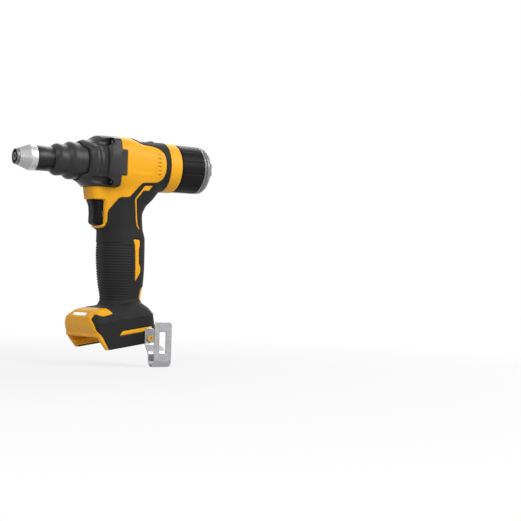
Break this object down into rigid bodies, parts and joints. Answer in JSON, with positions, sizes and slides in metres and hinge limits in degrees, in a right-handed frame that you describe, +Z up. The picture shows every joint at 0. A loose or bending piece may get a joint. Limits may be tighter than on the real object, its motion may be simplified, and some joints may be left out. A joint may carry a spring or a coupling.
{
  "type": "battery rivet tool",
  "caption": "Hand held battery rivet tool: stepped nose with pulling jaws, ball screw drive, pistol grip with trigger, slide-on battery foot, belt hook and mandrel container.",
  "frame": {"origin": "centre of the nose tip's front face, on the rivet axis", "axes": "+X forward out of the nose, +Y the tool's left side with the belt hook, +Z up"},
  "size_m": [0.2176, 0.0968, 0.2366],
  "materials": {
    "polished_steel": "turned and polished",
    "blued_steel": "satin black",
    "charcoal_plastic": "fine moulded grain",
    "yellow_plastic": "smooth moulded",
    "black_rubber": "soft overmould",
    "black_gloss": "glossy moulded",
    "clear_plastic": "clear moulded",
    "cast_aluminium": "die cast",
    "gear_steel": "ground",
    "lamination": "stacked sheet",
    "winding": "enamelled wire",
    "brass": "turned",
    "zinc_sheet": "zinc plated",
    "board": "coated",
    "dark_screw": "black oxide",
    "spring_steel": "drawn wire",
    "wire": "insulation",
    "seal": "moulded"
  },
  "bodies": {
    "body": {"nose_tip": "polished_steel", "nose_collar": "polished_steel", "nose_tube": "blued_steel", "nose_housing": "charcoal_plastic", "front_case": "charcoal_plastic", "case_screws": "dark_screw", "mandrel_tube": "polished_steel", "nut_bearings": "gear_steel", "bearing_plate": "cast_aluminium", "pinion_bearing": "gear_steel", "ring_gear": "gear_steel", "gearbox_housing": "cast_aluminium", "motor_plate": "cast_aluminium", "motor_bearings": "gear_steel", "stator_core": "lamination", "stator_coils": "winding", "motor_end_cap": "cast_aluminium", "motor_leads": "wire", "housing_left": "yellow_plastic", "housing_right": "yellow_plastic", "grip_left": "black_rubber", "grip_right": "black_rubber", "housing_screws": "dark_screw", "rear_collar": "yellow_plastic", "top_bumper": "black_rubber", "trigger_spring": "spring_steel", "switch_body": "charcoal_plastic", "control_board": "board", "terminal_block": "charcoal_plastic", "terminal_blades": "brass", "led_lens": "clear_plastic", "hook_inserts": "brass", "belt_hook": "zinc_sheet", "hook_screw": "brass"},
    "draw_unit": {"draw_rod": "polished_steel", "jaw_case": "gear_steel", "pusher_spring": "spring_steel"},
    "jaw_1": {"jaw_1": "gear_steel"},
    "jaw_2": {"jaw_2": "gear_steel"},
    "jaw_3": {"jaw_3": "gear_steel"},
    "jaw_pusher": {"jaw_pusher": "gear_steel"},
    "nut": {"ball_nut": "gear_steel", "face_gear": "gear_steel"},
    "carrier": {"planet_carrier": "gear_steel", "drive_pinion": "gear_steel"},
    "planet_1": {"planet_1": "gear_steel"},
    "planet_2": {"planet_2": "gear_steel"},
    "planet_3": {"planet_3": "gear_steel"},
    "rotor": {"motor_shaft": "polished_steel", "rotor_core": "lamination", "sun_gear": "gear_steel", "fan": "black_gloss"},
    "trigger": {"trigger": "black_gloss"},
    "container": {"container": "black_gloss", "container_cap": "clear_plastic", "container_seal": "seal"}
  },
  "joints": [
    {"name": "nut_spin", "type": "hinge", "parent": "body", "child": "nut", "pos_m": [-0.1135, 0, 0], "axis": [1, 0, 0], "range_deg": [0, 900]},
    {"name": "draw_slide", "type": "slide", "parent": "body", "child": "draw_unit", "axis": [-1, 0, 0], "range_m": [0, 0.025]},
    {"name": "carrier_spin", "type": "hinge", "parent": "body", "child": "carrier", "pos_m": [-0.1215, 0, -0.035], "axis": [0, 0, 1], "range_deg": [0, 2700]},
    {"name": "motor_spin", "type": "hinge", "parent": "body", "child": "rotor", "pos_m": [-0.1215, 0, -0.086], "axis": [0, 0, 1], "range_deg": [0, 13500]},
    {"name": "planet_1_spin", "type": "hinge", "parent": "carrier", "child": "planet_1", "pos_m": [-0.11325, 0, -0.0493], "axis": [0, 0, 1], "range_deg": [-7200, 0]},
    {"name": "planet_2_spin", "type": "hinge", "parent": "carrier", "child": "planet_2", "pos_m": [-0.12562, 0.00715, -0.0493], "axis": [0, 0, 1], "range_deg": [-7200, 0]},
    {"name": "planet_3_spin", "type": "hinge", "parent": "carrier", "child": "planet_3", "pos_m": [-0.12562, -0.00715, -0.0493], "axis": [0, 0, 1], "range_deg": [-7200, 0]},
    {"name": "pusher_slide", "type": "slide", "parent": "draw_unit", "child": "jaw_pusher", "axis": [1, 0, 0], "range_m": [0, 0.00196], "deforming": ["pusher_spring"]},
    {"name": "jaw_1_slide", "type": "slide", "parent": "draw_unit", "child": "jaw_1", "axis": [0.9806, -0.1959, 0], "range_m": [0, 0.002]},
    {"name": "jaw_2_slide", "type": "slide", "parent": "draw_unit", "child": "jaw_2", "axis": [0.9806, 0.098, -0.1697], "range_m": [0, 0.002]},
    {"name": "jaw_3_slide", "type": "slide", "parent": "draw_unit", "child": "jaw_3", "axis": [0.9806, 0.098, 0.1697], "range_m": [0, 0.002]},
    {"name": "trigger_pull", "type": "slide", "parent": "body", "child": "trigger", "axis": [-1, 0, 0], "range_m": [0, 0.006], "stiffness_N_per_m": 500, "springref_m": -0.004, "deforming": ["trigger_spring"]},
    {"name": "container_twist", "type": "hinge", "parent": "body", "child": "container", "pos_m": [-0.1835, 0, 0], "axis": [1, 0, 0], "range_deg": [0, 45]}
  ],
  "couplings": [
    {"joint": "draw_slide", "follows": "nut_spin", "m_per_rad": 0.0015915},
    {"joint": "carrier_spin", "follows": "nut_spin", "ratio": 3},
    {"joint": "motor_spin", "follows": "nut_spin", "ratio": 15},
    {"joint": "planet_1_spin", "follows": "nut_spin", "ratio": -8},
    {"joint": "planet_2_spin", "follows": "nut_spin", "ratio": -8},
    {"joint": "planet_3_spin", "follows": "nut_spin", "ratio": -8},
    {"joint": "jaw_1_slide", "follows": "pusher_slide", "ratio": 1.0198},
    {"joint": "jaw_2_slide", "follows": "pusher_slide", "ratio": 1.0198},
    {"joint": "jaw_3_slide", "follows": "pusher_slide", "ratio": 1.0198}
  ]
}
